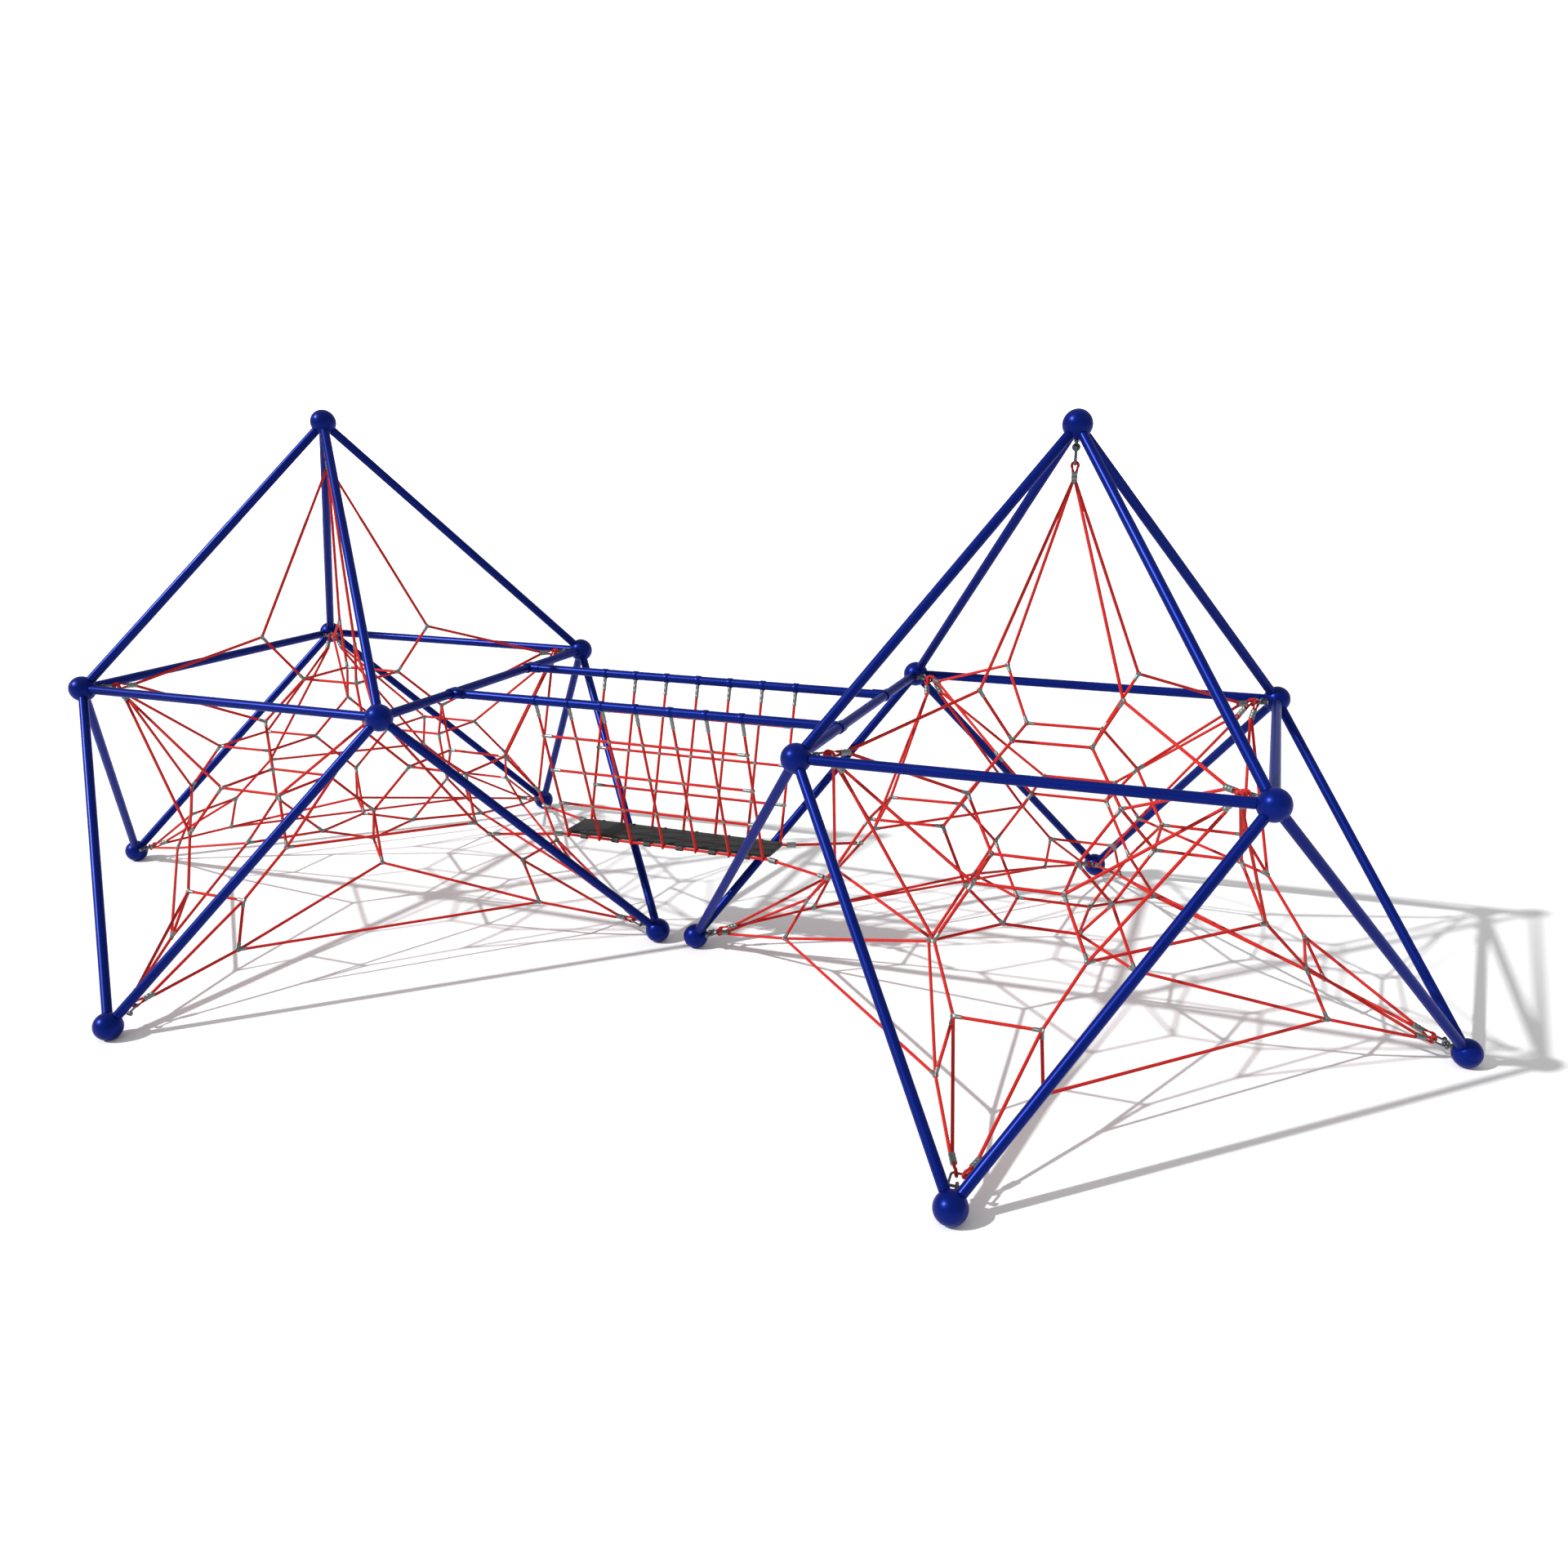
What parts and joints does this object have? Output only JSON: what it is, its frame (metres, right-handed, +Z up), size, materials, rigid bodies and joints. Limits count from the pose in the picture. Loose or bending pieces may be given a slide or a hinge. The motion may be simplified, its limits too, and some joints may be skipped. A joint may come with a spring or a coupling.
{
  "type": "rope dome climber",
  "caption": "Two blue tube-and-ball pyramid domes holding taut red rope climbing nets, joined by a rope bridge with a black rubber deck.",
  "frame": {"origin": "on the ground, midway between the two domes, under the middle of the bridge", "axes": "+X along the bridge from the west dome to the east dome, +Z up, -Y is the front"},
  "size_m": [8.384, 4.14, 2.9644],
  "materials": {
    "blue_tube": "gloss",
    "blue_ball": "gloss",
    "red_rope": "matte",
    "clamp_aluminium": "satin",
    "steel": "satin",
    "dark_steel": "satin",
    "deck_rubber": "matte"
  },
  "bodies": {
    "frame": {"west_apex_hub": "blue_ball", "west_corner_hub_front_left": "blue_ball", "west_corner_hub_front_right": "blue_ball", "west_corner_hub_back_right": "blue_ball", "west_corner_hub_back_left": "blue_ball", "west_ground_hub_front": "blue_ball", "west_ground_hub_right": "blue_ball", "west_ground_hub_back": "blue_ball", "west_ground_hub_left": "blue_ball", "west_roof_tubes": "blue_tube", "west_ring_tubes": "blue_tube", "west_leg_tubes": "blue_tube", "east_apex_hub": "blue_ball", "east_corner_hub_front_left": "blue_ball", "east_corner_hub_front_right": "blue_ball", "east_corner_hub_back_right": "blue_ball", "east_corner_hub_back_left": "blue_ball", "east_ground_hub_front": "blue_ball", "east_ground_hub_right": "blue_ball", "east_ground_hub_back": "blue_ball", "east_ground_hub_left": "blue_ball", "east_roof_tubes": "blue_tube", "east_ring_tubes": "blue_tube", "east_leg_tubes": "blue_tube", "tube_plugs": "steel", "tube_studs": "steel", "eye_bolts": "dark_steel", "shackle_bows": "dark_steel", "shackle_pins": "dark_steel", "rope_loops": "red_rope", "rope_ferrules": "clamp_aluminium", "rope_necks": "red_rope", "west_net_upper": "red_rope", "west_net_middle": "red_rope", "west_net_lower": "red_rope", "west_net_clamps": "clamp_aluminium", "east_net_upper": "red_rope", "east_net_middle": "red_rope", "east_net_lower": "red_rope", "east_net_clamps": "clamp_aluminium", "front_rail": "blue_tube", "back_rail": "blue_tube", "rail_brackets": "blue_ball"},
    "front_net": {"front_hangers": "clamp_aluminium", "front_side_net": "red_rope", "front_cross_clamps": "clamp_aluminium", "front_sleeves": "clamp_aluminium"},
    "back_net": {"back_hangers": "clamp_aluminium", "back_side_net": "red_rope", "back_cross_clamps": "clamp_aluminium", "back_sleeves": "clamp_aluminium"},
    "deck": {"deck_board": "deck_rubber", "deck_edge_ropes": "red_rope", "deck_clips": "clamp_aluminium", "deck_screws": "steel", "end_rope_sockets": "clamp_aluminium"},
    "front_west_rope": {"front_west_end_rope": "red_rope"},
    "back_west_rope": {"back_west_end_rope": "red_rope"},
    "front_east_rope": {"front_east_end_rope": "red_rope"},
    "back_east_rope": {"back_east_end_rope": "red_rope"}
  },
  "joints": [
    {"name": "bridge_sway", "type": "hinge", "parent": "frame", "child": "front_net", "pos_m": [0, -0.385, 1.48021], "axis": [1, 0, 0], "range_deg": [-1.5, 1.5], "stiffness_Nm_per_rad": 60},
    {"name": "deck_hinge", "type": "hinge", "parent": "front_net", "child": "deck", "pos_m": [0, -0.128, 0.641], "axis": [1, 0, 0], "range_deg": [-4.6, 4.6]},
    {"name": "back_net_hinge", "type": "hinge", "parent": "frame", "child": "back_net", "pos_m": [0, 0.385, 1.48021], "axis": [1, 0, 0], "range_deg": [-1.6, 1.6]},
    {"name": "front_west_rope_hinge", "type": "hinge", "parent": "frame", "child": "front_west_rope", "pos_m": [-1.022, -0.2915, 0.646], "axis": [0.1487, -0.3189, 0.936], "range_deg": [-3.4, 3.4]},
    {"name": "back_west_rope_hinge", "type": "hinge", "parent": "frame", "child": "back_west_rope", "pos_m": [-1.022, 0.2915, 0.646], "axis": [0.1488, 0.319, 0.936], "range_deg": [-3.4, 3.4]},
    {"name": "front_east_rope_hinge", "type": "hinge", "parent": "frame", "child": "front_east_rope", "pos_m": [1.022, -0.2915, 0.646], "axis": [-0.1487, -0.3189, 0.936], "range_deg": [-3.4, 3.4]},
    {"name": "back_east_rope_hinge", "type": "hinge", "parent": "frame", "child": "back_east_rope", "pos_m": [1.022, 0.2915, 0.646], "axis": [-0.1488, 0.319, 0.936], "range_deg": [-3.4, 3.4]}
  ],
  "couplings": [
    {"joint": "deck_hinge", "follows": "bridge_sway", "ratio": -3.008},
    {"joint": "back_net_hinge", "follows": "bridge_sway", "ratio": 1},
    {"joint": "front_west_rope_hinge", "follows": "bridge_sway", "ratio": 2.1795},
    {"joint": "back_west_rope_hinge", "follows": "bridge_sway", "ratio": 2.1796},
    {"joint": "front_east_rope_hinge", "follows": "bridge_sway", "ratio": -2.1795},
    {"joint": "back_east_rope_hinge", "follows": "bridge_sway", "ratio": -2.1796}
  ]
}
